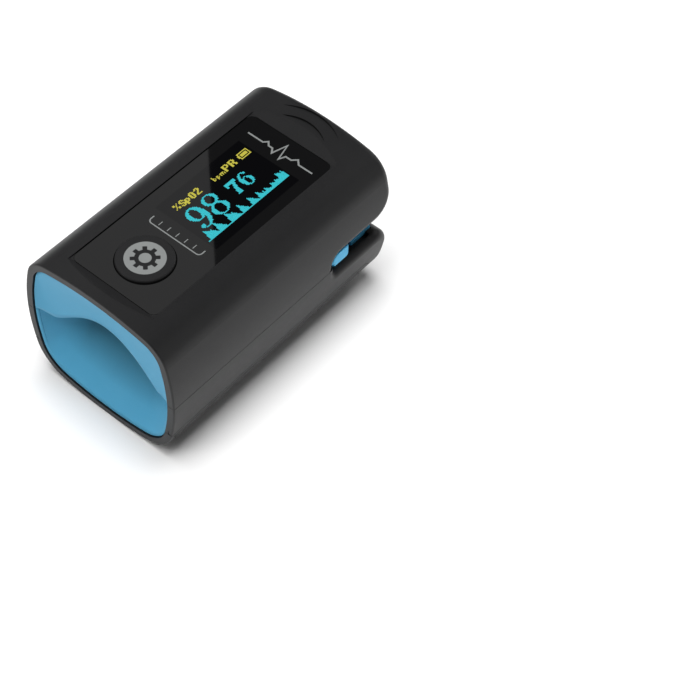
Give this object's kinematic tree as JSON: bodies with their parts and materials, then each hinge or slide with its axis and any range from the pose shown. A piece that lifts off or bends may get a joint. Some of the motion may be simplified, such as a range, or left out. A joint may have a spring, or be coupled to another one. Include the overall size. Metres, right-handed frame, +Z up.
{
  "type": "fingertip pulse oximeter",
  "caption": "Clip-on fingertip sensor: an oval sprung jaw case with soft pads around a finger channel, a glossy display lens with a button, and a sliding battery cover underneath.",
  "frame": {"origin": "under the middle of the case's length and width, at its base", "axes": "+X across the finger, +Y from the finger opening to the pinched tail, +Z up through the display"},
  "size_m": [0.0358, 0.0598, 0.0325],
  "materials": {
    "shell_black": "fine satin moulding texture",
    "silicone_blue": "soft matte silicone",
    "lens_black": "gloss, smoked",
    "button_black": "satin",
    "panel_glass": "gloss",
    "frame_white": "satin",
    "board_green": "solder mask",
    "chip_black": "epoxy",
    "foam_black": "foam",
    "steel": "drawn",
    "nickel": "plated",
    "flex_amber": "polyimide film",
    "window_clear": "clear resin",
    "die_red": "moulded",
    "cell_wrap": "printed wrap"
  },
  "bodies": {
    "lower_half": {"bottom_shell": "shell_black", "lower_frame": "frame_white", "lower_pad": "silicone_blue", "hinge_pin": "steel", "torsion_spring_left": "steel", "torsion_spring_right": "steel", "detector_board": "board_green", "photodiode": "chip_black", "detector_window": "window_clear", "lower_flex": "flex_amber", "battery_left": "cell_wrap", "battery_right": "cell_wrap", "front_contacts": "nickel", "rear_contact": "nickel", "contact_springs": "nickel"},
    "upper_half": {"top_shell": "shell_black", "display_lens": "lens_black", "lens_tape": "foam_black", "tact_switch": "steel", "oled_panel": "panel_glass", "display_gasket": "foam_black", "display_flex": "flex_amber", "main_board": "board_green", "board_screws": "steel", "board_chips": "chip_black", "buzzer": "chip_black", "upper_frame": "frame_white", "upper_pad": "silicone_blue", "emitter_board": "board_green", "emitter_leds": "die_red", "emitter_window": "window_clear", "upper_flex": "flex_amber"},
    "button": {"power_button": "button_black", "switch_plunger": "chip_black"},
    "cover": {"battery_cover": "shell_black"}
  },
  "joints": [
    {"name": "jaw_hinge", "type": "hinge", "parent": "lower_half", "child": "upper_half", "pos_m": [0, 0.0129, 0.0166], "axis": [-1, 0, 0], "range_deg": [0, 16], "stiffness_Nm_per_rad": 0.12, "springref_deg": -22.92},
    {"name": "button_press", "type": "slide", "parent": "upper_half", "child": "button", "axis": [0, 0, -1], "range_m": [0, 0.0003], "stiffness_N_per_m": 3000, "springref_m": -0.0002},
    {"name": "cover_slide", "type": "slide", "parent": "lower_half", "child": "cover", "axis": [0, -1, 0], "range_m": [0, 0.052]}
  ]
}
